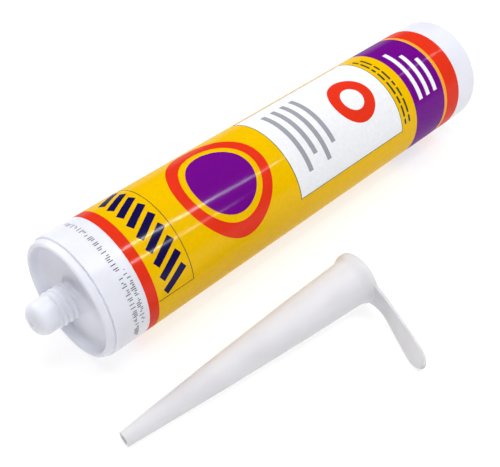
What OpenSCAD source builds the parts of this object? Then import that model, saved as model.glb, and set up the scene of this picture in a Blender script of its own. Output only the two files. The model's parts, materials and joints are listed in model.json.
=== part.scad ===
// Cartridge of sealant, about 300 ml, lying on its side with its nozzle off and lying beside it.
// Millimetres. The origin is on the cartridge's axis, in the plane of the head's rim.
// +Y runs along that axis to the open rear end, +Z is up, and the floor is one barrel radius below.
// Places along the axis are distances behind the rim, and negative in front of it.
// Places around it are degrees above the +X side.

/* [Barrel] */
// Outer diameter of the barrel
barrel_d = 50; // [47:0.5:54]
// Thickness of the barrel's wall
barrel_wall = 1.7; // [1.3:0.1:2.2]
// Length of the barrel from the head's rim to the open rear end
barrel_l = 219.2; // [215:0.1:240]
// Chamfer inside the open rear end
mouth_chamfer = 0.6; // [0.2:0.1:1]
// Rounding of the barrel's outer edges
edge_round = 0.4; // [0.2:0.1:0.6]

/* [Head] */
// Distance that the rim's crest stands inside the barrel's outer surface
rim_inset = 0.95; // [0.3:0.05:1.2]
// Thickness of the rim's bead across its crest
rim_t = 1.9; // [1.4:0.1:2.6]
// Angle at which the rim's outside widens from the crest to the groove
rim_lean = 12; // [4:0.5:14]
// Draft of the rim's inner wall, from the crest to the face
rim_draft = 0.8; // [0.4:0.1:1.2]
// Distance of the groove behind the rim's crest
groove_at = 2.6; // [2:0.1:5]
// Width of the groove between the rim and the barrel
groove_w = 0.6; // [0.5:0.1:1.4]
// Depth of the groove below the rim's outside
groove_depth = 0.3; // [0.2:0.05:0.6]
// Depth of the head's face behind the rim's crest
face_depth = 4.3; // [3.5:0.1:5.5]
// Thickness of the head's face
face_t = 2.2; // [1.6:0.1:3]
// Fillet between the face and the rim
face_fillet = 1.8; // [0.6:0.1:2.4]
// Fillet between the face and the barrel, on the inside
inner_fillet = 1.5; // [0.8:0.1:2.5]

/* [Spigot] */
// Outer diameter of the spigot, below its thread
spigot_d = 13.2; // [12.6:0.1:16]
// Distance that the sealed tip stands out in front of the rim
spigot_l = 15; // [11:0.5:18]
// Thickness of the spigot's wall and of its sealed tip
spigot_wall = 2; // [1.4:0.1:2.6]
// Radius of the tip's rounded shoulder
tip_round = 4.4; // [3.5:0.1:5.5]
// Fillet at the spigot's root
root_fillet = 2.4; // [1:0.1:3]
// Diameter of the moulding gate's dimple in the tip
gate_d = 3; // [2:0.1:4]
// Depth of the gate's dimple
gate_depth = 0.5; // [0.3:0.1:0.8]

/* [Sealant] */
// Clearance between the sealant and the walls
fill_gap = 0.05; // [0.02:0.01:0.2]

/* [Piston] */
// Distance that the piston stands inside the barrel's open rear end
piston_inset = 15.2; // [10:0.1:40]
// Length of the piston
piston_l = 20; // [15:0.5:26]
// Radial clearance of the piston's lips in the barrel
piston_clear = 0.05; // [0.02:0.01:0.1]
// Distance of the piston behind the sealant
piston_gap = 0.3; // [0.2:0.05:1]
// Thickness of the piston's skirt
piston_wall = 1.4; // [1:0.1:2]
// Thickness of the piston's front plate
piston_plate = 1.8; // [1.2:0.1:3]
// Length of each sealing lip
lip_l = 3; // [2:0.1:5]
// Depth of the waist between the lips
lip_relief = 0.7; // [0.4:0.1:1]
// Depth of the dish in the piston's front
dish_depth = 1; // [0.5:0.1:1.5]
// Number of ribs inside the piston
rib_count = 8; // [4:1:12]
// Thickness of a piston rib
rib_t = 1.2; // [0.8:0.1:2]
// Distance that a rib reaches in from the skirt
rib_reach = 5; // [3:0.5:8]
// Height of a rib along the skirt
rib_h = 9; // [5:0.5:11]

/* [Nozzle] */
// Length of the nozzle
nozzle_l = 110.5; // [90:0.5:125]
// Outer diameter of the nozzle's cone where it meets the collar
nozzle_d = 18.9; // [18.6:0.1:22]
// Outer diameter of the nozzle's tip
nozzle_tip_d = 5.8; // [4.8:0.1:7]
// Part of the cone's length that lies before its knee, behind which it narrows more
knee_share = 0.43; // [0.3:0.01:0.6]
// Distance that the knee stands out from a straight cone
knee_out = 0.65; // [0.2:0.05:0.7]
// Diameter of the opening in the tip
nozzle_hole_d = 3.2; // [2.4:0.1:3.8]
// Radial clearance of the socket around the spigot, which holds the thread
socket_gap = 0.95; // [0.3:0.05:1.1]
// Length of the socket
socket_l = 12.5; // [9:0.5:16]
// Height of the step between the socket and the cone's bore
socket_step = 0.7; // [0.4:0.1:1.2]
// Distance that the collar stands out from the cone
collar_out = 1.4; // [1:0.1:2]
// Thickness of the collar's edge
collar_t = 2.2; // [1.6:0.1:3]
// Length of the slope from the collar to the cone
collar_slope = 3; // [2:0.5:5]

/* [Pull tab] */
// Distance of the tab's end from the nozzle's axis, along the tab
tab_l = 44.8; // [34:0.1:52]
// Width of the tab
tab_w = 7; // [5:0.5:9]
// Thickness of the tab
tab_t = 1.4; // [1:0.1:1.8]
// Length of the tab's narrowing, rounded end
tab_nose = 7; // [3.5:0.5:12]
// Extra width at the tab's root, on each side
tab_flare = 3; // [1:0.1:3.4]
// Angle that the tab is bent towards the tip
tab_lean = 15.5; // [5:0.5:25]
// Angle that the tab is twisted by its end
tab_twist = 45; // [20:1:60]

/* [Nozzle on the floor] */
// Distance from the barrel's side to the middle of the collar
nozzle_away = 33; // [28:0.1:60]
// Distance of the collar's end behind the head's rim
nozzle_back = 95.5; // [80:0.1:140]
// Angle that the nozzle's tip is turned towards the barrel
nozzle_turn = 5.8; // [0:0.1:10]

/* [Label] */
// Depth of the printed label's film
label_t = 0.12; // [0.08:0.01:0.2]
// Front edge of the label
label_front = 17.9; // [15:0.1:25]
// Bare barrel behind the label
label_bare = 12.7; // [8:0.1:20]
// Width of the stripe at the front
front_stripe = 4.5; // [3:0.1:6]
// Width of the stripe at the rear
rear_stripe = 9.2; // [6:0.1:12]
// Width of the thin line in front of the rear stripe
thin_line = 2; // [1:0.1:3]
// Width of the dark band in front of the thin line
band_w = 21; // [16:0.5:24]
// Middle of the printed side, in degrees above the +X side
label_middle = 67; // [40:1:90]
// Angle that the printed side covers
label_span = 115; // [90:1:130]
// Number of slanted bars behind the front stripe
bar_count = 9; // [5:1:12]
// Distance of the bars behind the front stripe
bar_gap = 3; // [2:0.5:5]
// Length of a slanted bar along the barrel
bar_l = 12; // [8:0.5:14]
// Width of a slanted bar
bar_w = 3; // [2:0.1:3.4]
// Radius of the printed disc
disc_r = 14; // [10:0.5:15]
// Radius of the inside of the ring around the disc
ring_in = 16.5; // [15.5:0.5:18]
// Radius of the outside of that ring
ring_out = 21; // [19:0.5:22]
// Middle of the disc behind the label's front edge
disc_at = 51; // [42:0.5:56]
// Front edge of the pale panel behind the label's front edge
panel_at = 80; // [79:0.5:84]
// Length of the pale panel along the barrel
panel_l = 66; // [60:0.5:69]
// Middle of the spot behind the panel's front edge
spot_at = 47; // [42:0.5:49]
// Radius of the spot on the panel
spot_r = 11; // [8:0.5:13]
// Radius of the pale heart of the spot
heart_r = 5.5; // [3:0.5:7]
// Middle of the plain lines behind the panel's front edge
lines_at = 17; // [14:0.5:20]
// Number of plain lines on the panel
line_count = 4; // [2:1:5]
// Width of a plain line
line_w = 2.4; // [1.5:0.1:3]
// Distance from one plain line to the next
line_pitch = 5.5; // [4:0.1:7]

/* [Hidden] */
$fn = 96;

// Segments of a rounded edge in a profile, and sections along the tab and at its round end
arc_n = 6;
tab_n = 20;
tab_end_n = 7;

barrel_r = barrel_d / 2;
bore_r = barrel_r - barrel_wall;
rim_r = barrel_r - rim_inset;
crest_r = rim_t / 2;
crest_mid = rim_r - crest_r;
wall_foot = crest_mid - crest_r - rim_draft;
rim_edge = [crest_mid + crest_r * cos(rim_lean), crest_r - crest_r * sin(rim_lean)];
rim_back_r = rim_edge[0] + (groove_at - rim_edge[1]) * tan(rim_lean);
groove_r = rim_back_r - groove_depth;
face_in = face_depth + face_t;
spigot_r = spigot_d / 2;
spigot_bore = spigot_r - spigot_wall;
tip_flat = spigot_r - tip_round;
tip_mid = tip_round - spigot_l;
bore_round = tip_round - spigot_wall;
gate_slope = 0.3;
gate_r = min(gate_d / 2, tip_flat - gate_slope);
throat = 2;

piston_at = barrel_l - piston_inset - piston_l;
fill_end = piston_at - piston_gap;
piston_r = bore_r - piston_clear;
waist_r = piston_r - lip_relief;
skirt_in = waist_r - piston_wall;
dish_r = skirt_in - dish_depth;
rib_sink = 0.4;
cup_chamfer = 1;

cone_r = nozzle_d / 2;
tip_r = nozzle_tip_d / 2;
hole_r = nozzle_hole_d / 2;
collar_r = cone_r + collar_out;
cone_from = collar_t + collar_slope;
knee_at = cone_from + knee_share * (nozzle_l - cone_from);
knee_r = cone_r - knee_share * (cone_r - tip_r) + knee_out;
collar_round = 0.5;
socket_r = spigot_r + socket_gap;
throat_r = socket_r - socket_step;
nozzle_dip = atan2(collar_r - tip_r, nozzle_l - collar_t);
nozzle_rise = collar_r * cos(nozzle_dip) + collar_t * sin(nozzle_dip);

tab_root_out = 0.9;
tab_stub = 0.5;
tab_root = socket_r + tab_root_out;
tab_from = collar_r + tab_stub;
tab_bend = 9;
tab_flare_l = 13;
tab_edge = 0.25;
tab_end_half = 0.6;
tab_sink = 0.3;
tab_seat_at = tab_l - tab_nose / 2;
tab_seat = tab_mid(tab_seat_at);
tab_clear = 0.12;
tab_drop = tab_half(tab_seat_at) * cos(twisted(tab_seat_at))
    + tab_t / 2 * sin(twisted(tab_seat_at)) + tab_clear;
tab_roll = asin(
    (nozzle_rise - (tab_seat[1] + tab_sink) * sin(nozzle_dip) - tab_drop)
        / (tab_seat[0] * cos(nozzle_dip))
);

label_r = barrel_r - label_t;
label_rear = barrel_l - label_bare;
band_rear = label_rear - rear_stripe - thin_line;
printed_from = label_middle - label_span / 2;
printed_to = label_middle + label_span / 2;
bars_from = label_front + front_stripe + bar_gap;
bar_angle = 30;
band_lines = 3;
cut_over = 1;
line_inset_angle = 20;
line_step_angle = 12;

// Points of a circular arc in a profile, from one angle to another
function arc(mid, r, from, to) =
    [for (i = [0 : arc_n]) let (a = from + (to - from) * i / arc_n) mid + r * [cos(a), sin(a)]];

// The cavity that the sealant fills, from the spigot's blind end to the barrel, shrunk by a gap
function cavity(gap) = concat(
    [[0, tip_mid - bore_round + gap]],
    arc([tip_flat, tip_mid], bore_round - gap, -90, 0),
    [[spigot_bore - gap, face_in - throat], [spigot_bore + throat - gap, face_in + gap]],
    arc([bore_r - inner_fillet, face_in + inner_fillet], inner_fillet - gap, -90, 0)
);

// The outside of the cartridge, from the middle of the sealed tip to the rear end
function shell_outside() = concat(
    [[0, gate_depth - spigot_l], [gate_r - gate_slope, gate_depth - spigot_l], [gate_r, -spigot_l]],
    arc([tip_flat, tip_mid], tip_round, -90, 0),
    arc([spigot_r + root_fillet, face_depth - root_fillet], root_fillet, 180, 90),
    arc([wall_foot - face_fillet, face_depth - face_fillet], face_fillet, 90, 0),
    arc([crest_mid, crest_r], crest_r, 180, 360 - rim_lean),
    [
        [rim_back_r, groove_at], [groove_r, groove_at + groove_depth],
        [groove_r, groove_at + groove_w]
    ],
    arc([barrel_r - edge_round, groove_at + groove_w + edge_round], edge_round, -90, 0),
    [
        [barrel_r, label_front], [label_r, label_front], [label_r, label_rear],
        [barrel_r, label_rear]
    ],
    arc([barrel_r - edge_round, barrel_l - edge_round], edge_round, 0, 90)
);

function reversed(points) = [for (i = [len(points) - 1 : -1 : 0]) points[i]];

// Turns what is drawn around Z into a shape along the barrel's axis, rear end at +Y
module along_axis() {
    rotate([-90, 0, 0]) children();
}

// Barrel, head and sealed spigot: one moulding, turned from one profile
module cartridge() {
    color([0.94, 0.94, 0.96])
        along_axis()
            rotate_extrude()
                polygon(concat(
                    shell_outside(),
                    [[bore_r + mouth_chamfer, barrel_l], [bore_r, barrel_l - mouth_chamfer]],
                    reversed(cavity(0))
                ));
}

// The sealant: the cavity's own form, up to the piston
module sealant() {
    color([0.82, 0.83, 0.84])
        along_axis()
            rotate_extrude()
                polygon(concat(
                    cavity(fill_gap),
                    [[bore_r - fill_gap, fill_end], [0, fill_end]]
                ));
}

// Half section of the piston from its front plate: two lips, a waist, and a cup that opens to the rear
function piston_section() = [
    [0, dish_depth], [dish_r, dish_depth], [skirt_in, 0], [waist_r, 0], [piston_r, lip_relief],
    [piston_r, lip_l], [waist_r, lip_l + lip_relief],
    [waist_r, piston_l - lip_l - lip_relief], [piston_r, piston_l - lip_l],
    [piston_r, piston_l - lip_relief / 2], [piston_r - lip_relief / 2, piston_l],
    [skirt_in + piston_wall / 2, piston_l], [skirt_in, piston_l - piston_wall / 2],
    [skirt_in, dish_depth + piston_plate + cup_chamfer],
    [skirt_in - cup_chamfer, dish_depth + piston_plate],
    [0, dish_depth + piston_plate]
];

// The piston, moulded as a cup with ribs between its skirt and its plate
module piston() {
    plate_in = dish_depth + piston_plate;
    color([0.86, 0.87, 0.9])
        along_axis()
            translate([0, 0, piston_at]) {
                rotate_extrude() polygon(piston_section());
                for (i = [0 : rib_count - 1])
                    rotate([90, 0, i * 360 / rib_count])
                        translate([0, 0, -rib_t / 2])
                            linear_extrude(rib_t)
                                polygon([
                                    [skirt_in - rib_reach, plate_in - rib_sink],
                                    [skirt_in + rib_sink, plate_in - rib_sink],
                                    [skirt_in + rib_sink, plate_in + rib_h],
                                    [skirt_in - rib_t, plate_in + rib_h],
                                    [skirt_in - rib_reach, plate_in + rib_t]
                                ]);
            }
}

// Half section of the nozzle, from its collar to its tip: a long cone, narrower behind its knee,
// around a socket and a tapered bore
function nozzle_section() = concat(
    [[socket_r + collar_round, 0]],
    arc([collar_r - collar_round, collar_round], collar_round, -90, 0),
    [
        [collar_r, collar_t], [cone_r, cone_from], [knee_r, knee_at], [tip_r, nozzle_l],
        [hole_r, nozzle_l], [throat_r, socket_l + socket_step], [socket_r, socket_l],
        [socket_r, collar_round]
    ]
);

// How far along its bend the tab is at a distance from the nozzle's axis, from 0 to 1
function bent(a) = min(1, max(0, (a - tab_from) / tab_bend));

// The tab's middle line: straight out of the collar, round one bend, and straight to its end
function tab_mid(a) =
    let (
        r = tab_bend * 180 / PI / tab_lean,
        t = tab_lean * bent(a),
        past = max(0, a - tab_from - tab_bend)
    )
    [min(a, tab_from) + r * sin(t) + past * cos(t), r * (1 - cos(t)) + past * sin(t)];

// How far the tab is twisted at a distance from the nozzle's axis
function twisted(a) = tab_twist * max(0, (a - tab_from) / (tab_l - tab_from));

// Half the tab's width: flared at the root, even along its length and narrowing at the end
function tab_half(a) =
    let (
        nose = max(0, 1 - (tab_l - a) / tab_nose),
        flare = max(0, 1 - (a - tab_root) / tab_flare_l)
    )
    max(tab_end_half, tab_w / 2 * sqrt(max(0, 1 - nose * nose))) + tab_flare * flare * flare;

// Corners of the tab's section, with its edges taken off
function tab_corners(h) = let (t = tab_t / 2, e = tab_edge) [
    [h - e, -t], [h, e - t], [h, t - e], [h - e, t], [e - h, t], [-h, t - e], [-h, e - t], [e - h, -t]
];

// One section of the tab at a distance from the nozzle's axis, turned by its bend and its twist
function tab_ring(a) =
    let (
        mid = tab_mid(a),
        lean = tab_lean * bent(a),
        twist = -twisted(a),
        rise = [-sin(lean), 0, cos(lean)],
        side = [0, 1, 0] * cos(twist) + rise * sin(twist),
        face = rise * cos(twist) - [0, 1, 0] * sin(twist)
    )
    [
        for (c = tab_corners(tab_half(a)))
            [mid[0], 0, tab_sink + tab_t / 2 + mid[1]] + side * c[0] + face * c[1]
    ];

// The pull tab: one section carried along the middle line
module tab() {
    places = concat(
        [for (i = [0 : tab_n - 1]) tab_root + (tab_l - tab_nose - tab_root) * i / tab_n],
        [for (i = [0 : tab_end_n]) tab_l - tab_nose * (1 - sin(i * 90 / tab_end_n))]
    );
    rings = [for (a = places) tab_ring(a)];
    n = len(rings[0]);
    last = len(rings) - 1;
    polyhedron(
        points = [for (ring = rings) for (p = ring) p],
        faces = concat(
            [[for (i = [0 : n - 1]) i]],
            [[for (i = [n - 1 : -1 : 0]) last * n + i]],
            [
                for (k = [0 : last - 1])
                    for (i = [0 : n - 1])
                        [k * n + i, (k + 1) * n + i, (k + 1) * n + (i + 1) % n]
            ],
            [
                for (k = [0 : last - 1])
                    for (i = [0 : n - 1])
                        [k * n + i, (k + 1) * n + (i + 1) % n, k * n + (i + 1) % n]
            ]
        )
    );
}

// The nozzle, moulded in one with its tab. It rests on its collar, its tip and the end of its tab
module nozzle() {
    color([0.86, 0.86, 0.88])
        translate([barrel_r + nozzle_away, nozzle_back, nozzle_rise - barrel_r])
            rotate([0, 0, -nozzle_turn])
                rotate([90 + nozzle_dip, 0, 0]) {
                    rotate_extrude() polygon(nozzle_section());
                    rotate([0, 0, -tab_roll]) tab();
                }
}

// A stretch of the label's film, all round the barrel
module film(from, to) {
    along_axis()
        translate([0, 0, from])
            difference() {
                cylinder(h = to - from, r = barrel_r);
                translate([0, 0, -cut_over]) cylinder(h = to - from + 2 * cut_over, r = label_r);
            }
}

// A block that takes a stretch of the film between two angles
module sector(from, to, low, high) {
    along_axis()
        translate([0, 0, from])
            rotate([0, 0, -high])
                rotate_extrude(angle = high - low)
                    translate([barrel_r - 2 * cut_over, 0])
                        square([4 * cut_over, to - from]);
}

// A flat shape pushed into the film from outside: its X runs to the rear, its Y down around the barrel
module stamp(at, angle) {
    translate([0, at, 0])
        rotate([0, -angle, 0])
            translate([barrel_r / 4, 0, 0])
                rotate([90, 0, 90])
                    linear_extrude(barrel_r) children();
}

// The slanted bars behind the front stripe
module bars() {
    step = label_span / bar_count;
    for (i = [0 : bar_count - 1])
        stamp(bars_from + bar_l / 2, printed_from + step * (i + 0.5))
            rotate(bar_angle) square([bar_l, bar_w], center = true);
}

// The ring and the disc in the middle of the printed side
module ring() {
    stamp(label_front + disc_at, label_middle)
        difference() {
            circle(ring_out);
            circle(ring_in);
        }
}

module disc() {
    stamp(label_front + disc_at, label_middle) circle(disc_r);
}

// The pale panel and what is on it
module panel() {
    sector(
        label_front + panel_at, label_front + panel_at + panel_l, printed_from, printed_to
    );
}

module spot() {
    stamp(label_front + panel_at + spot_at, label_middle) circle(spot_r);
}

module spot_heart() {
    stamp(label_front + panel_at + spot_at, label_middle) circle(heart_r);
}

module panel_lines() {
    span = (line_count - 1) * line_pitch;
    for (i = [0 : line_count - 1]) {
        at = label_front + panel_at + lines_at - span / 2 + i * line_pitch;
        sector(
            at - line_w / 2, at + line_w / 2,
            printed_from + line_inset_angle + line_step_angle * (i % 2),
            printed_to - line_inset_angle
        );
    }
}

// The plain lines in the dark band
module band_marks() {
    pitch = band_w / (band_lines + 1);
    for (i = [1 : band_lines]) {
        at = band_rear - band_w + i * pitch;
        sector(
            at - line_w / 2, at + line_w / 2,
            printed_from + line_inset_angle,
            printed_to - line_inset_angle - line_step_angle * i
        );
    }
}

// Inks of the printed label, each in its own colour and flush with the barrel
module label_red() {
    color([0.88, 0.16, 0.08]) {
        film(label_front, label_front + front_stripe);
        film(label_rear - rear_stripe, label_rear);
        intersection() {
            film(bars_from, band_rear - band_w);
            ring();
        }
        intersection() {
            film(bars_from, band_rear - band_w);
            difference() {
                spot();
                spot_heart();
            }
        }
    }
}

module label_purple() {
    color([0.36, 0.02, 0.47]) {
        difference() {
            film(band_rear - band_w, band_rear);
            band_marks();
        }
        intersection() {
            film(bars_from, band_rear - band_w);
            disc();
        }
    }
}

module label_white() {
    color([0.95, 0.95, 0.95]) {
        intersection() {
            film(bars_from, band_rear);
            band_marks();
        }
        intersection() {
            film(bars_from, band_rear - band_w);
            difference() {
                panel();
                spot();
                panel_lines();
            }
        }
        intersection() {
            film(bars_from, band_rear - band_w);
            spot_heart();
        }
    }
}

module label_navy() {
    color([0.05, 0.04, 0.28])
        intersection() {
            film(label_front + front_stripe, band_rear);
            bars();
        }
}

module label_grey() {
    color([0.55, 0.56, 0.6])
        intersection() {
            film(bars_from, band_rear);
            panel_lines();
        }
}

module label_orange() {
    color([0.96, 0.6, 0.16]) film(band_rear, band_rear + thin_line);
}

module label_yellow() {
    color([0.96, 0.76, 0.02])
        difference() {
            film(label_front + front_stripe, band_rear - band_w);
            bars();
            ring();
            disc();
            panel();
        }
}

cartridge();
piston();
sealant();
nozzle();
label_yellow();
label_red();
label_purple();
label_white();
label_navy();
label_grey();
label_orange();
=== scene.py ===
"""Looks of a sealant cartridge that lies on its side, with its nozzle beside it.

The pieces are in metres, in the part's own frame. +Y runs along the cartridge's axis to its open
rear end, +Z is up, and the origin is on that axis in the plane of the head's rim. Fields and
arguments hold millimetres and degrees, as a drawing does, and MM turns them into metres. Only the
lamps and the floor's reach are given in metres. A place along the axis is a distance behind the
rim. A place around it is an angle above the +X side.
"""

import functools
import json
import logging
import math
import random
from collections.abc import Iterable
from dataclasses import dataclass
from enum import Enum

import bmesh
import bpy
from mathutils import Matrix, Quaternion, Vector


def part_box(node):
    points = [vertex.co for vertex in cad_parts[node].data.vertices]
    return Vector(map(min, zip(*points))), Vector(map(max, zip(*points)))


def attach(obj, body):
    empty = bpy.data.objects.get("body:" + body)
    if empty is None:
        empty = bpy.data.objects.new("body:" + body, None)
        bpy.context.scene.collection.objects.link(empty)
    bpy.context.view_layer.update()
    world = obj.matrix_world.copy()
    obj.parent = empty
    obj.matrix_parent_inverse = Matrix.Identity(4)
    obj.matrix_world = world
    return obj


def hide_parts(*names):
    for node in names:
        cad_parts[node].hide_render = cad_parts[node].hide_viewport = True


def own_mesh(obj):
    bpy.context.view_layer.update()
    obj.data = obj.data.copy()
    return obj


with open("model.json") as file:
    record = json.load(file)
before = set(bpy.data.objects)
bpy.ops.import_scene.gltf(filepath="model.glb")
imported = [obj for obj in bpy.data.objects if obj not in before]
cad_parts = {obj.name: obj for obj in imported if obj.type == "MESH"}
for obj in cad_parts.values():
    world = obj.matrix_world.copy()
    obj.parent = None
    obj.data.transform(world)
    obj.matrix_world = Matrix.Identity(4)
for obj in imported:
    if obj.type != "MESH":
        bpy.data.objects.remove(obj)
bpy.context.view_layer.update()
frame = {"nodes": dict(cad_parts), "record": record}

MM = 0.001
FULL_TURN = 360.0
TURN_STEPS = 160
FILLET_SEGMENTS = 8
THREAD_CUTS = 72
ON_WALL_MM = 0.02
MERGE_MM = 0.0005
SHARP_ANGLE = math.radians(32)
LOG = logging.getLogger("cartridge")


class Body(Enum):
    """The bodies that a piece can ride on."""

    TUBE = "tube"
    PLUNGER = "plunger"


class Ink(Enum):
    """The inks of the printed label, by the name of the node that carries each."""

    YELLOW = "label_yellow"
    RED = "label_red"
    PURPLE = "label_purple"
    WHITE = "label_white"
    NAVY = "label_navy"
    GREY = "label_grey"
    ORANGE = "label_orange"


Colour = tuple[float, float, float]
Triple = tuple[float, float, float]
Socket = bpy.types.NodeSocket


@dataclass(frozen=True)
class Pattern:
    """Clouds of noise: a cloud's size in millimetres, how fine it gets and how it is drawn out.

    A value that follows it goes from its low to its high while the noise, which keeps around 0.5,
    goes from start to end. Relief takes the noise as it is.
    """

    size: float
    detail: float = 2.0
    stretch: Triple = (1.0, 1.0, 1.0)
    start: float = 0.3
    end: float = 0.7


Relief = tuple[tuple[Pattern, float], ...]


class Graph:
    """A material's node tree, with one Principled shader, that the finishes add their detail to."""

    def __init__(self, name: str) -> None:
        """Starts an empty tree.

        Args:
            name: The material's name.
        """
        self.material = bpy.data.materials.new(name)
        self.material.use_nodes = True
        self.tree = self.material.node_tree
        self.tree.nodes.clear()
        self.shader = self.add("ShaderNodeBsdfPrincipled")
        output = self.add("ShaderNodeOutputMaterial")
        self.link(self.shader.outputs["BSDF"], output.inputs["Surface"])
        self.place = self.add("ShaderNodeTexCoord").outputs["Object"]

    def add(self, kind: str, inputs: dict | None = None, **settings: object) -> bpy.types.Node:
        """Adds one node.

        Args:
            kind: The node's type.
            inputs: Values of its sockets, by name or by number.
            settings: Its other settings.

        Returns:
            The node.
        """
        node = self.tree.nodes.new(kind)
        for key, value in settings.items():
            setattr(node, key, value)
        for key, value in (inputs or {}).items():
            node.inputs[key].default_value = value
        return node

    def link(self, source: Socket, target: Socket) -> None:
        """Links one socket to another."""
        self.tree.links.new(source, target)

    def set(self, **values: object) -> None:
        """Sets sockets of the shader, with underscores for the blanks in their names."""
        for key, value in values.items():
            self.shader.inputs[key.replace("_", " ")].default_value = value

    def noise(self, pattern: Pattern) -> Socket:
        """Lays a pattern on the piece's own coordinates.

        Args:
            pattern: The pattern.

        Returns:
            The noise.
        """
        mapping = self.add("ShaderNodeMapping", {"Scale": tuple(1 / s for s in pattern.stretch)})
        self.link(self.place, mapping.inputs["Vector"])
        grain = {"Scale": 1 / (pattern.size * MM), "Detail": pattern.detail}
        noise = self.add("ShaderNodeTexNoise", grain)
        self.link(mapping.outputs["Vector"], noise.inputs["Vector"])
        return noise.outputs["Fac"]

    def vary(self, pattern: Pattern, low: float, high: float) -> Socket:
        """Makes a value that follows a pattern.

        Args:
            pattern: The pattern.
            low: The value outside its clouds.
            high: The value inside them.

        Returns:
            The value.
        """
        ranges = {"From Min": pattern.start, "From Max": pattern.end, "To Min": low, "To Max": high}
        node = self.add("ShaderNodeMapRange", ranges)
        self.link(self.noise(pattern), node.inputs["Value"])
        return node.outputs["Result"]

    def paint(self, colour: Colour, darkest: float, pattern: Pattern) -> None:
        """Gives the surface its colour, a little darker in a pattern's clouds.

        Args:
            colour: The colour outside them.
            darkest: What it is multiplied by inside them.
            pattern: The pattern.
        """
        mix = self.add("ShaderNodeMix", data_type="RGBA")
        self.link(self.vary(pattern, 0.0, 1.0), mix.inputs["Factor"])
        mix.inputs["A"].default_value = (*colour, 1.0)
        mix.inputs["B"].default_value = (*(channel * darkest for channel in colour), 1.0)
        self.link(mix.outputs["Result"], self.shader.inputs["Base Color"])

    def rub(self, roughness: float, extra: float, pattern: Pattern) -> None:
        """Gives the surface its roughness, and extra roughness where a pattern says it is rubbed."""
        self.link(self.vary(pattern, roughness, roughness + extra), self.shader.inputs["Roughness"])

    def round_normal(self) -> Socket:
        """Works out the normal of a wall that is turned about the barrel's axis, without facets.

        Returns:
            The normal.
        """
        across = self.add("ShaderNodeVectorMath", {1: (1.0, 0.0, 1.0)}, operation="MULTIPLY")
        self.link(self.place, across.inputs[0])
        unit = self.add("ShaderNodeVectorMath", operation="NORMALIZE")
        self.link(across.outputs["Vector"], unit.inputs[0])
        return unit.outputs["Vector"]

    def bump(self, relief: Relief, normal: Socket | None = None) -> None:
        """Lays patterns over each other as relief on the shader's normal.

        Args:
            relief: Each pattern with its full height, in millimetres.
            normal: The normal under them, where it isn't the mesh's own.
        """
        for pattern, height in relief:
            node = self.add("ShaderNodeBump", {"Strength": 1.0, "Distance": height * MM})
            self.link(self.noise(pattern), node.inputs["Height"])
            if normal is not None:
                self.link(normal, node.inputs["Normal"])
            normal = node.outputs["Normal"]
        for socket in ("Normal", "Coat Normal"):
            self.link(normal, self.shader.inputs[socket])


@dataclass(frozen=True)
class Finish:
    """What each finish has: a name and the record's slot that it belongs to."""

    name: str
    slot: str

    def material(self) -> bpy.types.Material:
        """Builds the material of this finish."""
        raise NotImplementedError


@dataclass(frozen=True)
class MouldedPlastic(Finish):
    """Polyethylene as it comes from the mould: softly glossy, faintly cloudy and never quite flat."""

    colour: Colour
    darkest: float = 0.965
    clouds: Pattern = Pattern(9.0, 3.0, start=0.35)
    roughness: float = 0.3
    rubbed: float = 0.1
    rubs: Pattern = Pattern(0.7, 4.0, (1.0, 9.0, 1.0), start=0.4, end=0.75)
    relief: Relief = ((Pattern(14.0), 0.02), (Pattern(1.1), 0.0006))
    refraction: float = 1.5
    scatter: float = 0.5
    scatter_depth: float = 1.5
    scatter_colour: Colour = (1.0, 0.95, 0.9)

    @functools.cache
    def material(self) -> bpy.types.Material:
        """Builds the plastic's material.

        Returns:
            The material.
        """
        graph = Graph(self.name)
        graph.paint(self.colour, self.darkest, self.clouds)
        graph.rub(self.roughness, self.rubbed, self.rubs)
        graph.bump(self.relief)
        graph.set(
            IOR=self.refraction,
            Subsurface_Weight=self.scatter,
            Subsurface_Radius=self.scatter_colour,
            Subsurface_Scale=self.scatter_depth * MM,
        )
        return graph.material


@dataclass(frozen=True)
class PrintedInk(Finish):
    """Ink under a clear varnish, on a barrel whose wall shows through as a slow ripple."""

    colour: Colour
    darkest: float = 0.93
    mottle: Pattern = Pattern(1.6, 4.0, end=0.75)
    roughness: float = 0.5
    rubbed: float = 0.15
    rubs: Pattern = Pattern(0.5, 4.0, (1.0, 12.0, 1.0), start=0.45, end=0.8)
    relief: Relief = ((Pattern(26.0, 0.5, (1.0, 3.0, 1.0)), 0.012),)
    refraction: float = 1.45
    varnish: float = 0.26
    varnish_roughness: float = 0.11
    varnish_refraction: float = 1.5

    @functools.cache
    def material(self) -> bpy.types.Material:
        """Builds the ink's material, in which only the varnish is glossy.

        Returns:
            The material.
        """
        graph = Graph(self.name)
        graph.paint(self.colour, self.darkest, self.mottle)
        graph.rub(self.roughness, self.rubbed, self.rubs)
        graph.bump(self.relief, graph.round_normal())
        graph.set(
            IOR=self.refraction,
            Specular_IOR_Level=0.0,
            Coat_Weight=self.varnish,
            Coat_Roughness=self.varnish_roughness,
            Coat_IOR=self.varnish_refraction,
        )
        return graph.material


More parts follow.
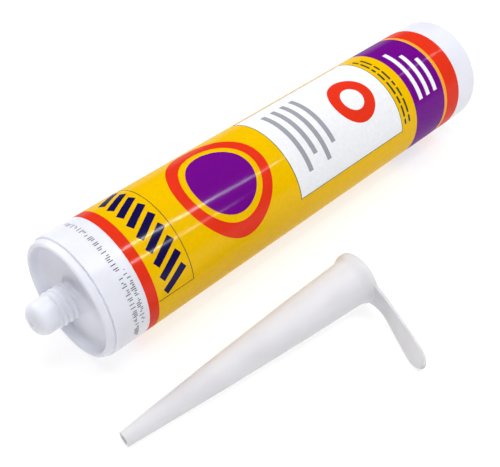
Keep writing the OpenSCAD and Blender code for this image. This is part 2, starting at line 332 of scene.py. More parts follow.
@dataclass(frozen=True)
class MilkyPlastic(Finish):
    """Unpigmented polyethylene: matt and milky, with shading that is soft and even."""

    colour: Colour
    darkest: float = 0.94
    clouds: Pattern = Pattern(7.0, 4.0, (1.0, 2.5, 1.0), start=0.35)
    roughness: float = 0.5
    rubbed: float = 0.12
    rubs: Pattern = Pattern(0.6, 4.0, start=0.4, end=0.75)
    relief: Relief = ((Pattern(8.0), 0.03), (Pattern(0.4), 0.002))
    refraction: float = 1.5
    shine: float = 0.35
    clear: float = 0.05
    scatter: float = 0.8
    scatter_depth: float = 0.2
    scatter_colour: Colour = (1.0, 1.0, 1.0)

    @functools.cache
    def material(self) -> bpy.types.Material:
        """Builds the milky plastic's material.

        Returns:
            The material.
        """
        graph = Graph(self.name)
        graph.paint(self.colour, self.darkest, self.clouds)
        graph.rub(self.roughness, self.rubbed, self.rubs)
        graph.bump(self.relief)
        graph.set(
            IOR=self.refraction,
            Transmission_Weight=self.clear,
            Specular_IOR_Level=self.shine,
            Subsurface_Weight=self.scatter,
            Subsurface_Radius=self.scatter_colour,
            Subsurface_Scale=self.scatter_depth * MM,
        )
        return graph.material


@dataclass(frozen=True)
class Paste(Finish):
    """Sealant: a wet paste with shallow dents."""

    colour: Colour
    darkest: float = 0.9
    dents: Pattern = Pattern(5.0, 3.0)
    dent_depth: float = 0.3
    roughness: float = 0.3
    scatter: float = 0.3
    scatter_depth: float = 2.0

    @functools.cache
    def material(self) -> bpy.types.Material:
        """Builds the paste's material.

        Returns:
            The material.
        """
        graph = Graph(self.name)
        graph.paint(self.colour, self.darkest, self.dents)
        graph.bump(((self.dents, self.dent_depth),))
        graph.set(
            Roughness=self.roughness,
            Subsurface_Weight=self.scatter,
            Subsurface_Scale=self.scatter_depth * MM,
        )
        return graph.material


@dataclass(frozen=True)
class LightTable(Finish):
    """The matt white sheet of a light table, which glows a little from below."""

    colour: Colour
    darkest: float = 0.995
    fibres: Pattern = Pattern(40.0)
    roughness: float = 0.8
    shine: float = 0.2
    glow: float = 0.68

    @functools.cache
    def material(self) -> bpy.types.Material:
        """Builds the sheet's material.

        Returns:
            The material.
        """
        graph = Graph(self.name)
        graph.paint(self.colour, self.darkest, self.fibres)
        graph.set(
            Roughness=self.roughness,
            Specular_IOR_Level=self.shine,
            Emission_Color=(1.0, 1.0, 1.0, 1.0),
            Emission_Strength=self.glow,
        )
        return graph.material


BARREL = MouldedPlastic("barrel_white", "barrel_plastic", (0.79, 0.80, 0.875))
PISTON = MouldedPlastic("piston_natural", "piston_plastic", (0.70, 0.72, 0.77), roughness=0.4)
NOZZLE = MilkyPlastic("nozzle_milky", "nozzle_plastic", (0.79, 0.78, 0.81))
PASTE = Paste("sealant_paste", "sealant", (0.64, 0.66, 0.68))
TABLE = LightTable("light_table", "", (0.35, 0.35, 0.35))
JET_INK = PrintedInk("jet_ink", "ink_grey", (0.06, 0.06, 0.075), varnish=0.0)
LINE_INK = PrintedInk("line_ink", "ink_navy", (0.045, 0.05, 0.03))
INKS = {
    Ink.YELLOW: PrintedInk("ink_yellow", "ink_yellow", (0.83, 0.49, 0.0)),
    Ink.RED: PrintedInk("ink_red", "ink_red", (0.74, 0.034, 0.012)),
    Ink.PURPLE: PrintedInk("ink_purple", "ink_purple", (0.155, 0.003, 0.24)),
    Ink.WHITE: PrintedInk("ink_white", "ink_white", (0.84, 0.85, 0.88)),
    Ink.NAVY: PrintedInk("ink_navy", "ink_navy", (0.008, 0.005, 0.07)),
    Ink.GREY: PrintedInk("ink_grey", "ink_grey", (0.33, 0.34, 0.38)),
    Ink.ORANGE: PrintedInk("ink_orange", "ink_orange", (0.90, 0.38, 0.03)),
}


@dataclass(frozen=True)
class Corner:
    """A corner of a turned profile, with the fillet that rounds it, in millimetres."""

    radius: float
    along: float
    fillet: float = 0.0

    def place(self) -> Vector:
        """The corner in the plane that is turned about Z."""
        return Vector((self.radius, 0.0, self.along))

    def set_back(self, before: "Corner", after: "Corner") -> float:
        """How far from this corner its fillet starts, towards the ones before and after it."""
        sides = (before.place() - self.place()).angle(after.place() - self.place())
        return self.fillet / math.tan(sides / 2)


def turned(corners: list[Corner]) -> bmesh.types.BMesh:
    """Turns a closed profile about the Z axis. It starts and ends on the axis, or where it started.

    Args:
        corners: The profile's corners in order, in millimetres.

    Returns:
        The solid, in millimetres.
    """
    bm = bmesh.new()
    verts = [bm.verts.new(corner.place()) for corner in corners]
    for one, other in zip(verts, verts[1:]):
        bm.edges.new((one, other))
    if corners[0].radius > 0:
        bm.edges.new((verts[-1], verts[0]))
    count = len(corners)
    for i, corner in enumerate(corners):
        if corner.fillet > 0:
            bmesh.ops.bevel(
                bm,
                geom=[verts[i]],
                offset=corner.set_back(corners[i - 1], corners[(i + 1) % count]),
                offset_type="OFFSET",
                segments=FILLET_SEGMENTS,
                profile=0.5,
                affect="VERTICES",
                material=-1,
            )
    spin_about(bm, bm.verts[:] + bm.edges[:], Vector((0, 0, 1)), FULL_TURN, TURN_STEPS)
    return bm


def spin_about(
    bm: bmesh.types.BMesh, geom: list, axis: Vector, angle: float, steps: int
) -> None:
    """Spins geometry about an axis through the origin, and closes a full turn.

    Args:
        bm: The mesh that holds it.
        geom: What is spun.
        axis: The axis.
        angle: The angle, in degrees.
        steps: How many steps it takes.
    """
    full = math.isclose(angle, FULL_TURN)
    bmesh.ops.spin(
        bm,
        geom=geom,
        cent=(0, 0, 0),
        axis=axis,
        dvec=(0, 0, 0),
        angle=math.radians(angle),
        steps=steps,
        use_merge=full,
        use_duplicate=False,
    )
    bmesh.ops.remove_doubles(bm, verts=bm.verts[:], dist=MERGE_MM)


@dataclass(frozen=True)
class Thread:
    """A right-handed thread that is raised on a turned wall, by moving the wall's own points."""

    start: float
    end: float
    pitch: float
    height: float
    fade: float = 1.2
    sharpness: float = 1.5

    def offset(self, along: float, angle: float) -> float:
        """How far a point of the wall moves outwards.

        Args:
            along: Its place along the axis that the thread winds up, in millimetres.
            angle: Its angle about that axis, in radians.

        Returns:
            The distance, in millimetres.
        """
        inside = min(along - self.start, self.end - along)
        if inside <= 0:
            return 0.0
        turn = along / self.pitch - angle / (2 * math.pi)
        ridge = (0.5 + 0.5 * math.cos(2 * math.pi * turn)) ** self.sharpness
        ease = min(1.0, inside / self.fade)
        ease = ease * ease * (3 - 2 * ease)
        return self.height * ridge * ease

    def raise_on(self, bm: bmesh.types.BMesh, wall: float) -> None:
        """Cuts a turned wall into fine rings and moves them to the thread's form.

        Args:
            bm: The turned mesh, in millimetres, with its axis on Z.
            wall: The wall's radius.
        """
        long_edges = [
            edge
            for edge in bm.edges
            if all(abs(v.co.xy.length - wall) < ON_WALL_MM for v in edge.verts)
            and abs(edge.verts[0].co.z - edge.verts[1].co.z) > self.pitch
            and self.start < (edge.verts[0].co.z + edge.verts[1].co.z) / 2 < self.end
        ]
        bmesh.ops.subdivide_edges(bm, edges=long_edges, cuts=THREAD_CUTS, use_grid_fill=True)
        for vert in bm.verts:
            if abs(vert.co.xy.length - wall) < ON_WALL_MM:
                out = vert.co.xy.normalized()
                move = self.offset(vert.co.z, math.atan2(vert.co.y, vert.co.x))
                vert.co.xy += out * move


def join(piece: bpy.types.Object, bm: bmesh.types.BMesh) -> None:
    """Joins a second solid to a finished piece, so that the two share one skin.

    Args:
        piece: The finished piece, whose mesh is changed.
        bm: The second solid, in millimetres, in its place. It is used up.
    """
    bmesh.ops.scale(bm, verts=bm.verts[:], vec=(MM, MM, MM))
    mesh = bpy.data.meshes.new("joined")
    bm.to_mesh(mesh)
    bm.free()
    other = bpy.data.objects.new("joined", mesh)
    bpy.context.scene.collection.objects.link(other)
    union = piece.modifiers.new("union", "BOOLEAN")
    union.operation = "UNION"
    union.solver = "EXACT"
    union.object = other
    graph = bpy.context.evaluated_depsgraph_get()
    whole = bpy.data.meshes.new_from_object(piece.evaluated_get(graph))
    piece.modifiers.clear()
    piece.data = whole
    whole.shade_smooth()
    whole.set_sharp_from_angle(angle=SHARP_ANGLE)
    bpy.data.objects.remove(other)


class SubAssembly:
    """A group of pieces of the object. Each subclass builds its own and dresses its nodes."""

    body = Body.TUBE

    def add(
        self, bm: bmesh.types.BMesh, name: str, finish: Finish, replaces: Iterable[str] = ()
    ) -> bpy.types.Object:
        """Makes a mesh in millimetres a finished piece of the object.

        Args:
            bm: The mesh, in its place. It is used up.
            name: The piece's name.
            finish: Its finish.
            replaces: The nodes that it stands for.

        Returns:
            The piece.
        """
        bmesh.ops.remove_doubles(bm, verts=bm.verts[:], dist=MERGE_MM)
        bmesh.ops.scale(bm, verts=bm.verts[:], vec=(MM, MM, MM))
        bmesh.ops.recalc_face_normals(bm, faces=bm.faces[:])
        mesh = bpy.data.meshes.new(name)
        bm.to_mesh(mesh)
        bm.free()
        mesh.shade_smooth()
        mesh.set_sharp_from_angle(angle=SHARP_ANGLE)
        mesh.materials.append(finish.material())
        piece = bpy.data.objects.new(name, mesh)
        bpy.context.scene.collection.objects.link(piece)
        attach(piece, self.body.value)
        if replaces:
            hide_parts(*replaces)
        LOG.info("%s: %d faces, finish %s", name, len(mesh.polygons), finish.name)
        return piece

    def dress(self, node: str, finish: Finish) -> None:
        """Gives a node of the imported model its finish.

        Args:
            node: The node's name.
            finish: The finish.
        """
        for slot in frame["nodes"][node].material_slots:
            slot.material = finish.material()
        LOG.info("%s: kept, finish %s", node, finish.name)

    def build(self) -> None:
        """Builds and dresses the pieces of this group."""
        raise NotImplementedError


def mount(name: str) -> dict:
    """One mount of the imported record, by its name."""
    return next(m for m in frame["record"]["mounts"] if m["name"] == name)


@dataclass(frozen=True)
class TubeSizes:
    """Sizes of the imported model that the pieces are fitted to, in millimetres."""

    barrel_radius: float
    barrel_length: float
    spigot_radius: float
    spigot_length: float
    label_front: float
    label_rear: float
    piston_front: float
    floor: float

    @classmethod
    def of_frame(cls) -> "TubeSizes":
        """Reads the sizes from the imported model.

        Returns:
            The sizes.
        """
        low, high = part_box("cartridge")
        red_low, red_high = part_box(Ink.RED.value)
        return cls(
            barrel_radius=mount("barrel")["dims"]["r_mm"],
            barrel_length=high.y / MM,
            spigot_radius=mount("spigot")["dims"]["r_mm"],
            spigot_length=-low.y / MM,
            label_front=red_low.y / MM,
            label_rear=red_high.y / MM,
            piston_front=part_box("piston")[0].y / MM,
            floor=low.z / MM,
        )


ALONG_BARREL = Matrix.Rotation(math.radians(-90), 4, "X")


@dataclass
class Cartridge(SubAssembly):
    """The barrel with its head and its sealed, threaded spigot: one moulding."""

    sizes: TubeSizes
    wall: float = 1.7
    rim_inset: float = 0.95
    rim_thickness: float = 1.9
    rim_lean: float = 12.0
    rim_draft: float = 0.8
    rim_roundness: float = 1.1
    groove_at: float = 2.6
    groove_width: float = 0.6
    groove_depth: float = 0.3
    groove_lip: float = 0.6
    groove_fillet: float = 0.2
    face_depth: float = 4.3
    face_thickness: float = 2.2
    face_fillet: float = 1.8
    inner_fillet: float = 1.5
    spigot_wall: float = 2.0
    tip_round: float = 4.4
    root_fillet: float = 2.4
    gate_radius: float = 1.5
    gate_depth: float = 0.5
    gate_slope: float = 0.3
    gate_lip: float = 0.2
    gate_fillet: float = 0.25
    throat: float = 2.0
    throat_fillet: float = 0.8
    label_depth: float = 0.12
    mouth_chamfer: float = 0.6
    mouth_fillet: float = 0.2
    edge_round: float = 0.4
    thread: Thread = Thread(start=-7.2, end=2.4, pitch=2.3, height=0.6, sharpness=1.0)

    @property
    def face_inside(self) -> float:
        """Place of the face's inner side."""
        return self.face_depth + self.face_thickness

    @property
    def bore(self) -> float:
        """Radius of the barrel's bore."""
        return self.sizes.barrel_radius - self.wall

    def cavity(self, gap: float = 0.0) -> list[Corner]:
        """The profile that the sealant fills, from the spigot's blind end to the barrel.

        Args:
            gap: How much smaller it is than the cavity.

        Returns:
            The corners.
        """
        inner = self.sizes.spigot_radius - self.spigot_wall
        blind = self.spigot_wall - self.sizes.spigot_length
        return [
            Corner(0, blind + gap),
            Corner(inner - gap, blind + gap, self.tip_round - self.spigot_wall),
            Corner(inner - gap, self.face_inside - self.throat, self.throat_fillet),
            Corner(inner + self.throat - gap, self.face_inside + gap, self.throat_fillet),
            Corner(self.bore - gap, self.face_inside + gap, self.inner_fillet),
        ]

    def head(self) -> list[Corner]:
        """Draws the head's outside, from the middle of the sealed tip to the barrel's front edge.

        Returns:
            The corners.
        """
        spigot = self.sizes.spigot_radius
        tip = -self.sizes.spigot_length
        crest = self.rim_thickness / 2
        bead = crest * self.rim_roundness
        middle = self.sizes.barrel_radius - self.rim_inset - crest
        lean = math.radians(self.rim_lean)
        rim = middle + crest * math.cos(lean) - crest * (1 - math.sin(lean)) * math.tan(lean)
        rim_back = rim + self.groove_at * math.tan(lean)
        groove = rim_back - self.groove_depth
        front = self.groove_at + self.groove_width
        return [
            Corner(0, tip + self.gate_depth),
            Corner(self.gate_radius - self.gate_slope, tip + self.gate_depth, self.gate_fillet),
            Corner(self.gate_radius, tip, self.gate_lip),
            Corner(spigot, tip, self.tip_round),
            Corner(spigot, self.face_depth, self.root_fillet),
            Corner(middle - crest - self.rim_draft, self.face_depth, self.face_fillet),
            Corner(middle - crest, 0, bead),
            Corner(rim, 0, bead),
            Corner(rim_back, self.groove_at, self.groove_lip),
            Corner(groove, self.groove_at + self.groove_depth, self.groove_fillet),
            Corner(groove, front, self.groove_fillet),
            Corner(self.sizes.barrel_radius, front, self.edge_round),
        ]

    def barrel(self) -> list[Corner]:
        """Draws the barrel's outside, with the shallow recess that the label's film lies in.

        Returns:
            The corners.
        """
        radius = self.sizes.barrel_radius
        recess = radius - self.label_depth
        rear = self.sizes.barrel_length
        return [
            Corner(radius, self.sizes.label_front),
            Corner(recess, self.sizes.label_front),
            Corner(recess, self.sizes.label_rear),
            Corner(radius, self.sizes.label_rear),
            Corner(radius, rear, self.edge_round),
            Corner(self.bore + self.mouth_chamfer, rear, self.mouth_fillet),
            Corner(self.bore, rear - self.mouth_chamfer, self.mouth_fillet),
        ]

    def build(self) -> None:
        """Turns the moulding and raises the spigot's thread."""
        bm = turned(self.head() + self.barrel() + self.cavity()[::-1])
        self.thread.raise_on(bm, self.sizes.spigot_radius)
        bm.transform(ALONG_BARREL)
        self.add(bm, "cartridge_moulding", BARREL, replaces=["cartridge"])


@dataclass
class Plunger(SubAssembly):
    """The piston, which slides in the barrel."""

    body = Body.PLUNGER

    def build(self) -> None:
        """Dresses the piston."""
        self.dress("piston", PISTON)


@dataclass
class Filling(SubAssembly):
    """The sealant between the head and the piston."""

    cartridge: Cartridge
    gap: float = 0.05
    piston_gap: float = 0.3
    rear_fillet: float = 0.6
    left_at_end: float = 1.0

    def build(self) -> None:
        """Turns the paste's form, which ends just in front of the piston, and gives the piece its own
        mesh.
        """
        end = self.cartridge.sizes.piston_front - self.piston_gap
        wall = self.cartridge.bore - self.gap
        rear = [Corner(wall, end, self.rear_fillet), Corner(0, end)]
        bm = turned(self.cartridge.cavity(self.gap) + rear)
        bm.transform(ALONG_BARREL)
        piece = self.add(bm, "sealant_filling", PASTE, replaces=["sealant"])
        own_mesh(piece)


@dataclass
class Print(SubAssembly):
    """Thin ink that is laid on the barrel in small patches."""

    sizes: TubeSizes
    ink_lift: float = 0.015
    ink_sink: float = 0.03
    facet: float = 3.0

    def patch(
        self, bm: bmesh.types.BMesh, start: float, end: float, low: float, high: float
    ) -> None:
        """Adds a thin curved slab of ink to a mesh.

        Args:
            bm: The mesh.
            start: Its front edge along the barrel.
            end: Its rear edge.
            low: Its lower edge, in degrees above the +X side.
            high: Its upper edge.
        """
        inner = self.sizes.barrel_radius - self.ink_sink
        outer = self.sizes.barrel_radius + self.ink_lift
        turn = Matrix.Rotation(-math.radians(low), 3, "Y")
        corners = [(inner, start), (outer, start), (outer, end), (inner, end)]
        face = bm.faces.new([bm.verts.new(turn @ Vector((r, s, 0))) for r, s in corners])
        steps = max(1, round((high - low) / self.facet))
        spin_about(bm, [face, *face.edges, *face.verts], Vector((0, -1, 0)), high - low, steps)

    def degrees(self, width: float) -> float:
        """The angle that a width takes on the barrel."""
        return math.degrees(width / self.sizes.barrel_radius)


@dataclass
class Label(Print):
    """The printed label. Its fields of colour are nodes, and its fine lines are thin ink on them."""

    line: float = 0.32
    printed: tuple[float, float] = (9.5, 124.5)
    panel: tuple[float, float] = (80.0, 146.0)
    title: tuple[float, float] = (4.5, 21.5)
    title_margin: float = 6.0
    dash: float = 1.1
    dash_gap: float = 1.1
    dash_rows: tuple[float, ...] = (148.4, 151.2)
    dash_margins: tuple[float, float] = (6.0, 20.0)
    dash_lengths: tuple[float, ...] = (2.4, 5.2, 3.4, 6.6, 4.4)
    dash_shift: int = 2

    def outline(
        self, bm: bmesh.types.BMesh, along: tuple[float, float], margin: float, closed: bool
    ) -> None:
        """Draws a fine line round a field of the printed side.

        Args:
            bm: The mesh that gets it.
            along: The field's front and rear edges, behind the label's front edge.
            margin: How many degrees it lies outside the printed side.
            closed: Whether its front edge gets a line too.
        """
        start, end = (self.sizes.label_front + place for place in along)
        low = self.printed[0] - margin
        high = self.printed[1] + margin
        edge = self.degrees(self.line)
        if closed:
            self.patch(bm, start, start + self.line, low, high)
        self.patch(bm, end - self.line, end, low, high)
        for side in (low, high - edge):
            self.patch(bm, start + self.line, end - self.line, side, side + edge)

    def dashes(self, bm: bmesh.types.BMesh, at: float, first: int) -> None:
        """Draws a row of dashes.

        Args:
            bm: The mesh that gets them.
            at: The row's middle, behind the label's front edge.
            first: Which of the lengths comes first.
        """
        along = self.sizes.label_front + at
        angle = self.printed[0] + self.dash_margins[0]
        count = first
        while angle < self.printed[1] - self.dash_margins[1]:
            span = self.degrees(self.dash_lengths[count % len(self.dash_lengths)])
            self.patch(bm, along - self.dash / 2, along + self.dash / 2, angle, angle + span)
            angle += span + self.degrees(self.dash_gap)
            count += 1

    def build(self) -> None:
        """Dresses the inks and adds the fine lines."""
        for ink, finish in INKS.items():
            self.dress(ink.value, finish)
        bm = bmesh.new()
        self.outline(bm, self.panel, 0.0, True)
        self.outline(bm, self.title, self.title_margin, False)
        for row, at in enumerate(self.dash_rows):
            self.dashes(bm, at, row * self.dash_shift)
        self.add(bm, "label_lines", LINE_INK)


@dataclass
class BatchMarks(Print):
    """Rows of ink-jet strokes on the bare barrel in front of the label. They spell nothing."""

    stroke: float = 0.3
    tall: float = 2.1
    pitch: float = 0.78
    rows: tuple[tuple[float, float, float], ...] = (
        (12.3, 48.0, 118.0),
        (14.6, -6.0, 46.0),
        (11.8, -20.0, 42.0),
    )
    front_cuts: tuple[float, ...] = (0.0, 0.0, 0.25, 0.5)
    rear_cuts: tuple[float, ...] = (0.0, 0.0, 0.0, 0.3)
    gaps: tuple[int, ...] = (1, 1, 2)
    seed: int = 7

    def build(self) -> None:
        """Lays strokes side by side, cuts some of them short and leaves some gaps, by chance."""
        bm = bmesh.new()
        chance = random.Random(self.seed)
        width = self.degrees(self.stroke)
        for along, low, high in self.rows:
            angle = low
            while angle < high:
                start = along - self.tall / 2 + self.tall * chance.choice(self.front_cuts)
                end = along + self.tall / 2 - self.tall * chance.choice(self.rear_cuts)
                self.patch(bm, start, end, angle, angle + width)
                angle += self.degrees(self.pitch) * chance.choice(self.gaps)
        self.add(bm, "batch_marks", JET_INK)


@dataclass
class Nozzle(SubAssembly):
    """The nozzle: a long cone on a socket, a collar and a pull tab, all in one moulding."""

    length: float = 110.5
    cone_radius: float = 9.45
    tip_radius: float = 2.9
    knee_share: float = 0.43
    knee_out: float = 0.65
    knee_blend: float = 1400.0
    hole_radius: float = 1.6
    socket_length: float = 12.5
    socket_step: float = 0.7
    collar_out: float = 1.4
    collar_thickness: float = 2.2
    collar_slope: float = 3.0
    collar_fillet: float = 0.5
    slope_fillet: float = 0.6
    cone_fillet: float = 6.0
    edge_fillet: float = 0.3
    socket_to_collar: float = 6.5
    thread: Thread = Thread(start=1.2, end=11.5, pitch=2.3, height=-0.4)
    tab_length: float = 44.8
    tab_cuts: int = 48
    tab_nose: float = 7.0
    tab_nose_cuts: int = 18
    tab_width: float = 7.0
    tab_least_half_width: float = 0.4
    tab_thickness: float = 1.4
    tab_end_thickness: float = 0.55
    tab_edge: float = 0.45
    tab_edge_segments: int = 5
    tab_flare: float = 3.0
    tab_flare_length: float = 13.0
    tab_root_out: float = 0.9
    tab_root_swell: float = 0.3
    tab_lean: float = 15.5
    tab_twist: float = 45.0
    tab_bend: float = 9.0
    tab_bend_out: float = 0.5
    tab_sink: float = 0.3
    tab_clear: float = 0.12

    @property
    def socket_radius(self) -> float:
        """Radius of the socket that goes over the spigot."""
        return mount("nozzle_socket")["dims"]["r_mm"]

    @property
    def collar_radius(self) -> float:
        """Radius of the collar."""
        return self.cone_radius + self.collar_out

    @property
    def dip(self) -> float:
        """Angle by which the nozzle's tip points down, in radians."""
        return math.asin(mount("nozzle_socket")["axis"][2])

    def placement(self) -> Matrix:
        """Works out how the nozzle lies, from its own frame, which has Z to the tip and Y up.

        Returns:
            The matrix from that frame.
        """
        socket = mount("nozzle_socket")
        tip_way = -Vector(socket["axis"])
        across = Vector((0, 0, 1)).cross(tip_way).normalized()
        up = tip_way.cross(across)
        place = Vector(socket["pos_m"]) / MM - tip_way * self.socket_to_collar
        turn = Matrix((across, up, tip_way)).transposed().to_4x4()
        return Matrix.Translation(place) @ turn

    def profile(self) -> list[Corner]:
        """Draws half a section of the nozzle, from its collar round its outside and its bore.

        Returns:
            The corners.
        """
        socket = self.socket_radius
        edge = self.edge_fillet
        cone_from = self.collar_thickness + self.collar_slope
        knee_at = cone_from + self.knee_share * (self.length - cone_from)
        straight = self.cone_radius - self.knee_share * (self.cone_radius - self.tip_radius)
        return [
            Corner(socket, 0, self.collar_fillet),
            Corner(self.collar_radius, 0, self.collar_fillet),
            Corner(self.collar_radius, self.collar_thickness, self.slope_fillet),
            Corner(self.cone_radius, cone_from, self.cone_fillet),
            Corner(straight + self.knee_out, knee_at, self.knee_blend),
            Corner(self.tip_radius, self.length, edge),
            Corner(self.hole_radius, self.length, edge),
            Corner(socket - self.socket_step, self.socket_length + self.socket_step, edge),
            Corner(socket, self.socket_length, edge),
        ]

    def bent(self, reach: float) -> float:
        """How far along its bend the tab is at a distance from the nozzle's axis, from 0 to 1."""
        return min(1.0, max(0.0, (reach - self.bend_start) / self.tab_bend))

    @property
    def bend_start(self) -> float:
        """Distance from the axis at which the tab starts to bend."""
        return self.collar_radius + self.tab_bend_out

    def tab_middle(self, reach: float) -> Vector:
        """Place of the tab's middle line: straight, round one bend, and straight to its end.

        Args:
            reach: Distance along the tab from the nozzle's axis.

        Returns:
            The place, with the tab along X and the tip along Z.
        """
        lean = math.radians(self.tab_lean)
        radius = self.tab_bend / lean
        turn = lean * self.bent(reach)
        past = max(0.0, reach - self.bend_start - self.tab_bend)
        along = min(reach, self.bend_start) + radius * math.sin(turn) + past * math.cos(turn)
        rise = radius * (1 - math.cos(turn)) + past * math.sin(turn)
        return Vector((along, 0, rise + self.tab_sink + self.tab_thickness / 2))

    def tab_half_width(self, reach: float) -> float:
        """Works out half the tab's width, which is flared at its root and narrows at its end.

        Args:
            reach: Distance along the tab from the nozzle's axis.

        Returns:
            Half the width.
        """
        nose = max(0.0, 1 - (self.tab_length - reach) / self.tab_nose)
        rounded = self.tab_width / 2 * math.sqrt(max(0.0, 1 - nose * nose))
        return max(self.tab_least_half_width, rounded) + self.tab_flare * self.flare(reach)

    def flare(self, reach: float) -> float:
        """How much the tab is flared at a distance from the nozzle's axis: 1 at its root."""
        left = 1 - (reach - self.socket_radius - self.tab_root_out) / self.tab_flare_length
        return max(0.0, left) ** 2

    def twisted(self, reach: float) -> float:
        """How far the tab is twisted at a distance from the nozzle's axis, in radians."""
        past = max(0.0, (reach - self.bend_start) / (self.tab_length - self.bend_start))
        return math.radians(self.tab_twist) * past

    def tab_roll(self) -> float:
        """Works out the turn about the nozzle's axis that brings the tab's end down to the floor.

        Returns:
            The angle, in radians.
        """
        seat_at = self.tab_length - self.tab_nose / 2
        twist = self.twisted(seat_at)
        seat = self.tab_middle(seat_at)
        drop = self.tab_half_width(seat_at) * math.cos(twist)
        drop += self.tab_thickness / 2 * math.sin(twist)
        rise = self.collar_radius * math.cos(self.dip) + self.collar_thickness * math.sin(self.dip)
        height = rise - (seat.z - self.tab_thickness / 2) * math.sin(self.dip)
        return math.asin((height - drop - self.tab_clear) / (seat.x * math.cos(self.dip)))

    def tab_section(self, reach: float) -> Matrix:
        """The matrix that sets the tab's flat section at a distance from the nozzle's axis.

        Args:
            reach: Distance along the tab from the nozzle's axis.

        Returns:
            The matrix. The section's X goes across the tab, and its Y through its thickness.
        """
        lean = math.radians(self.tab_lean) * self.bent(reach)
        twist = self.twisted(reach)
        rise = Vector((-math.sin(lean), 0, math.cos(lean)))
        level = Vector((0, 1, 0))
        side = level * math.cos(twist) - rise * math.sin(twist)
        through = rise * math.cos(twist) + level * math.sin(twist)
        turn = Matrix((side, through, side.cross(through))).transposed().to_4x4()
        rest = self.tab_length - reach
        thick = min(1.0, self.tab_end_thickness + rest / self.tab_thickness)
        thick += self.tab_root_swell * self.flare(reach)
        size = Matrix.Diagonal((self.tab_half_width(reach) * 2 / self.tab_width, thick, 1, 1))
        return Matrix.Translation(self.tab_middle(reach)) @ turn @ size

    def tab_places(self) -> list[float]:
        """Works out where the tab gets its sections, which crowd together at its rounded end.

        Returns:
            Their distances from the nozzle's axis.
        """
        root = self.socket_radius + self.tab_root_out
        shoulder = self.tab_length - self.tab_nose
        straight = [root + (shoulder - root) * i / self.tab_cuts for i in range(self.tab_cuts)]
        turns = [math.radians(90 * i / self.tab_nose_cuts) for i in range(self.tab_nose_cuts + 1)]
        return straight + [shoulder + self.tab_nose * math.sin(turn) for turn in turns]

    def tab(self) -> bmesh.types.BMesh:
        """Carries one rounded section along the tab's middle line.

        Returns:
            The tab, in the nozzle's own frame.
        """
        places = self.tab_places()
        bm = bmesh.new()
        corners = bmesh.ops.create_grid(bm, x_segments=1, y_segments=1, size=1.0)["verts"]
        half = (self.tab_width / 2, self.tab_thickness / 2, 1)
        bmesh.ops.scale(bm, verts=corners, vec=half)
        bmesh.ops.bevel(
            bm,
            geom=corners,
            offset=self.tab_edge,
            offset_type="OFFSET",
            segments=self.tab_edge_segments,
            profile=0.5,
            affect="VERTICES",
            material=-1,
        )
        face = bm.faces[:][0]
        before = self.tab_section(places[0])
        bmesh.ops.transform(bm, matrix=before, verts=bm.verts[:])
        for place in places[1:]:
            after = self.tab_section(place)
            root = place == places[1]
            made = bmesh.ops.extrude_face_region(bm, geom=[face], use_keep_orig=root)
            face = next(g for g in made["geom"] if isinstance(g, bmesh.types.BMFace))
            moved = [g for g in made["geom"] if isinstance(g, bmesh.types.BMVert)]
            bmesh.ops.transform(bm, matrix=after @ before.inverted(), verts=moved)
            before = after
        bmesh.ops.recalc_face_normals(bm, faces=bm.faces[:])
        bm.transform(Matrix.Rotation(-self.tab_roll(), 4, "Z"))
        return bm

    def build(self) -> None:
        """Turns the nozzle's body and joins the tab to it."""
        bm = turned(self.profile())
        self.thread.raise_on(bm, self.socket_radius)
        bm.transform(self.placement())
        body = self.add(bm, "nozzle_moulding", NOZZLE, replaces=["nozzle"])
        tab = self.tab()
        tab.transform(self.placement())
        join(body, tab)


@dataclass(frozen=True)
class Softbox:
    """A rectangular lamp. Places and sizes are in metres, and its turn in degrees."""

    name: str
    place: Triple
    aim: Triple
    size: tuple[float, float]
    radiance: float
    turn: float = 0.0

    def build(self) -> None:
        """Hangs the lamp, aims it, and turns its long side about its beam from the Y axis."""
        data = bpy.data.lights.new(self.name, "AREA")
        data.shape = "RECTANGLE"
        data.size, data.size_y = self.size
        data.energy = self.radiance * math.pi * self.size[0] * self.size[1]
        lamp = bpy.data.objects.new(self.name, data)
        bpy.context.scene.collection.objects.link(lamp)
        lamp.location = self.place
        lamp.rotation_mode = "QUATERNION"
        way = Vector(self.aim) - Vector(self.place)
        turned_to = Quaternion((0, 0, 1), math.radians(self.turn))
        lamp.rotation_quaternion = way.to_track_quat("-Z", "Y") @ turned_to


TUBE_HEIGHT = 0.7
HIGH_TURN = -32.7
LOW_TURN = -38.7


def tube(
    name: str,
    over: tuple[float, float],
    size: tuple[float, float],
    radiance: float,
    turn: float = 0.0,
) -> Softbox:
    """Makes a long narrow lamp that shines straight down, for a streak along the varnish.

    Args:
        name: Its name.
        over: The point of the floor that it hangs over, in metres.
        size: Its width and its length, in metres.
        radiance: Its radiance.
        turn: How far its long side is turned from the Y axis, in degrees.

    Returns:
        The lamp.
    """
    return Softbox(name, (*over, TUBE_HEIGHT), (*over, 0.0), size, radiance, turn)


@dataclass(frozen=True)
class Viewpoint:
    """The camera, placed as in the photograph. It sees nothing that is nearer than near."""

    place: Triple = (195.7, -103.0, 225.3)
    azimuth: float = 44.9
    elevation: float = 42.31
    lens: float = 61.81
    sensor: float = 36.0
    near: float = 10.0

    def build(self) -> None:
        """Makes the camera."""
        data = bpy.data.cameras.new("viewpoint")
        data.lens = self.lens
        data.sensor_width = self.sensor
        data.clip_start = self.near * MM
        camera = bpy.data.objects.new("viewpoint", data)
        bpy.context.scene.collection.objects.link(camera)
        side, up = math.radians(self.azimuth), math.radians(self.elevation)
        back = Vector((math.sin(side) * math.cos(up), -math.cos(side) * math.cos(up), math.sin(up)))
        camera.location = Vector(self.place) * MM
        camera.rotation_mode = "QUATERNION"
        camera.rotation_quaternion = (-back).to_track_quat("-Z", "Y")
        bpy.context.scene.camera = camera


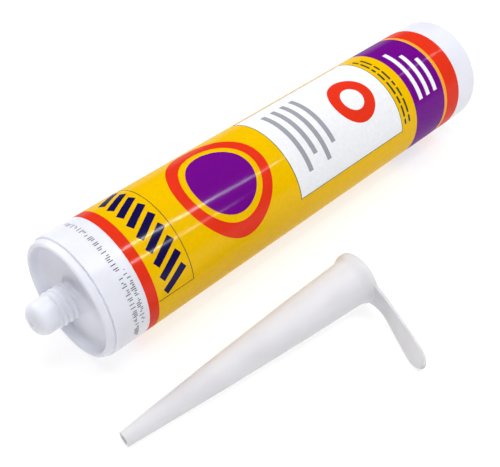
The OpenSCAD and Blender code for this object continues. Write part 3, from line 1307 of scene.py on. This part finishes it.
@dataclass
class Studio:
    """The pale floor, whose reach is in metres, the lamps and the soft light all round."""

    floor: float
    reach: float = 40.0
    cells: int = 8
    ambient: float = 0.06
    walls: float = 0.6
    horizon: tuple[float, float] = (0.04, 0.14)
    lamps: tuple[Softbox, ...] = (
        Softbox("above", (0.05, 0.1, 1.3), (0.05, 0.1, 0.0), (0.8, 0.8), 4.0),
        Softbox("camera_side", (0.7, -0.55, 0.9), (0.04, 0.08, 0.0), (0.7, 0.7), 3.1),
        Softbox("left", (-0.9, 0.0, 0.7), (0.0, 0.1, 0.0), (0.6, 0.8), 4.4),
        tube("tube_high", (0.265, 0.39), (0.036, 0.30), 46.0, HIGH_TURN),
        tube("tube_high_end", (0.397, 0.596), (0.028, 0.19), 28.0, HIGH_TURN),
        tube("tube_low", (0.70, 0.462), (0.042, 0.22), 39.0, LOW_TURN),
        tube("tube_low_end", (0.86, 0.66), (0.035, 0.27), 20.0, LOW_TURN),
        tube("tube_rear", (0.179, 0.94), (0.02, 0.16), 23.0),
    )

    def build(self) -> None:
        """Lays the floor, hangs the lamps and lights the room."""
        bm = bmesh.new()
        place = Matrix.Translation((0, 0, self.floor * MM))
        bmesh.ops.create_grid(
            bm, x_segments=self.cells, y_segments=self.cells, size=self.reach, matrix=place
        )
        mesh = bpy.data.meshes.new("floor")
        bm.to_mesh(mesh)
        bm.free()
        mesh.materials.append(TABLE.material())
        floor = bpy.data.objects.new("floor", mesh)
        bpy.context.scene.collection.objects.link(floor)
        for lamp in self.lamps:
            lamp.build()
        bpy.context.scene.world = self.room()
        bpy.context.scene.view_settings.view_transform = "Standard"

    def room(self) -> bpy.types.World:
        """Makes the room: dim above, and pale where its far walls meet the floor.

        Returns:
            The world.
        """
        world = bpy.data.worlds.new("room")
        world.use_nodes = True
        nodes, links = world.node_tree.nodes, world.node_tree.links
        split = nodes.new("ShaderNodeSeparateXYZ")
        links.new(nodes.new("ShaderNodeTexCoord").outputs["Generated"], split.inputs["Vector"])
        fade = nodes.new("ShaderNodeMapRange")
        low, high = self.horizon
        ranges = {"From Min": low, "From Max": high, "To Min": self.walls, "To Max": self.ambient}
        for key, value in ranges.items():
            fade.inputs[key].default_value = value
        links.new(split.outputs["Z"], fade.inputs["Value"])
        air = nodes["Background"]
        air.inputs["Color"].default_value = (1.0, 1.0, 1.0, 1.0)
        links.new(fade.outputs["Result"], air.inputs["Strength"])
        return world


def main() -> None:
    """Builds the object piece by piece, and then the studio around it."""
    logging.basicConfig(level=logging.INFO, format="%(message)s")
    Viewpoint().build()
    sizes = TubeSizes.of_frame()
    cartridge = Cartridge(sizes)
    groups: list[SubAssembly] = [
        cartridge,
        Filling(cartridge),
        Plunger(),
        Label(sizes),
        BatchMarks(sizes),
        Nozzle(),
    ]
    for group in groups:
        group.build()
    Studio(sizes.floor).build()


if __name__ == "__main__":
    main()
